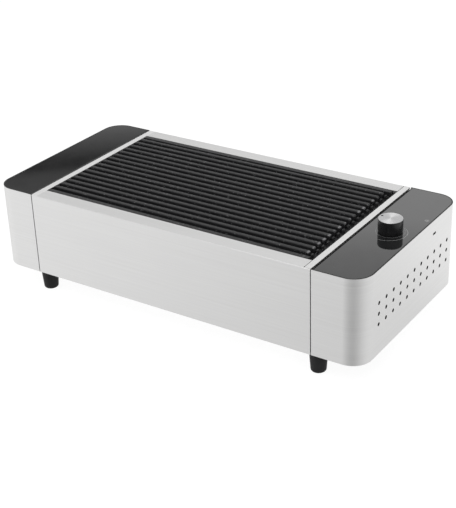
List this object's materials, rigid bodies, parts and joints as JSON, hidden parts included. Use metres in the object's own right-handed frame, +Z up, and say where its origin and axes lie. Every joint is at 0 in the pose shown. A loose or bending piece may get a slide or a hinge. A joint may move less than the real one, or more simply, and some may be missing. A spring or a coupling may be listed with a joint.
{
  "type": "tabletop charcoal grill",
  "caption": "Low rectangular tabletop charcoal grill in brushed steel with a lift-out ribbed grid, black end panels, a fan control knob, vented end and tapered feet.",
  "frame": {"origin": "on the table, under the middle of the body", "axes": "+X to the right, towards the end with the knob; +Y to the back; +Z up"},
  "size_m": [0.59, 0.28, 0.175],
  "materials": {
    "steel": "fine horizontal brushing",
    "black_glass": "black glass, polished, not see-through",
    "foam_seal": "matte",
    "coal_steel": "heat-dulled",
    "black_iron": "matte black coating",
    "black_plastic": "satin",
    "knob_black": "semi-gloss",
    "spun_metal": "spun in fine rings",
    "motor_copper": "lacquered windings",
    "cell_can": "gloss",
    "board_green": "solder mask",
    "zinc": "zinc plated",
    "black_rubber": "matte"
  },
  "bodies": {
    "housing": {"centre_shell": "steel", "left_end_shell": "steel", "right_end_shell": "steel", "left_bulkhead": "steel", "right_bulkhead": "steel", "base_plate": "steel", "bowl_ledge": "steel", "collar_front": "steel", "collar_back": "steel", "left_panel": "black_glass", "right_panel": "black_glass", "left_panel_seal": "foam_seal", "right_panel_seal": "foam_seal", "fan_frame": "black_plastic", "fan_motor": "motor_copper", "air_duct": "steel", "fan_screw_1": "zinc", "fan_screw_2": "zinc", "fan_screw_3": "zinc", "fan_screw_4": "zinc", "battery_box": "black_plastic", "battery_cell_1": "cell_can", "battery_cell_2": "cell_can", "battery_cell_3": "cell_can", "battery_cell_4": "cell_can", "battery_contact_left": "zinc", "battery_contact_right": "zinc", "box_screw_1": "zinc", "box_screw_2": "zinc", "control_board": "board_green", "power_socket": "zinc", "potentiometer_body": "zinc", "potentiometer_nut": "zinc", "foot_front_left": "black_rubber", "foot_back_left": "black_rubber", "foot_front_right": "black_rubber", "foot_back_right": "black_rubber", "foot_screw_front_left": "zinc", "foot_screw_back_left": "zinc", "foot_screw_front_right": "zinc", "foot_screw_back_right": "zinc", "base_screw_1": "zinc", "base_screw_2": "zinc", "base_screw_3": "zinc", "base_screw_4": "zinc", "base_screw_5": "zinc", "base_screw_6": "zinc", "base_screw_7": "zinc", "base_screw_8": "zinc"},
    "knob": {"knob_body": "knob_black", "knob_cap": "spun_metal", "potentiometer_shaft": "zinc"},
    "fan_rotor": {"fan_impeller": "black_plastic", "fan_shaft": "zinc"},
    "battery_cover": {"battery_door": "black_plastic"},
    "bowl": {"fire_bowl": "steel"},
    "tray": {"gel_tray": "steel"},
    "basket": {"charcoal_basket": "coal_steel"},
    "lid": {"basket_lid": "coal_steel"},
    "grid": {"grill_grid": "black_iron"}
  },
  "joints": [
    {"name": "knob_turn", "type": "hinge", "parent": "housing", "child": "knob", "pos_m": [0.2596, 0.0015, 0.156], "axis": [0, 0, -1], "range_deg": [0, 270]},
    {"name": "fan_spin", "type": "hinge", "parent": "housing", "child": "fan_rotor", "pos_m": [0.23, 0, 0.0832], "axis": [1, 0, 0], "continuous": true},
    {"name": "battery_door_slide", "type": "slide", "parent": "housing", "child": "battery_cover", "axis": [0, 1, 0], "range_m": [0, 0.066]},
    {"name": "bowl_lift", "type": "slide", "parent": "housing", "child": "bowl", "axis": [0, 0, 1], "range_m": [0, 0.135]},
    {"name": "tray_lift", "type": "slide", "parent": "bowl", "child": "tray", "axis": [0, 0, 1], "range_m": [0, 0.135]},
    {"name": "basket_lift", "type": "slide", "parent": "tray", "child": "basket", "axis": [0, 0, 1], "range_m": [0, 0.135]},
    {"name": "lid_lift", "type": "slide", "parent": "basket", "child": "lid", "axis": [0, 0, 1], "range_m": [0, 0.08]},
    {"name": "grid_lift", "type": "slide", "parent": "lid", "child": "grid", "axis": [0, 0, 1], "range_m": [0, 0.04]}
  ]
}
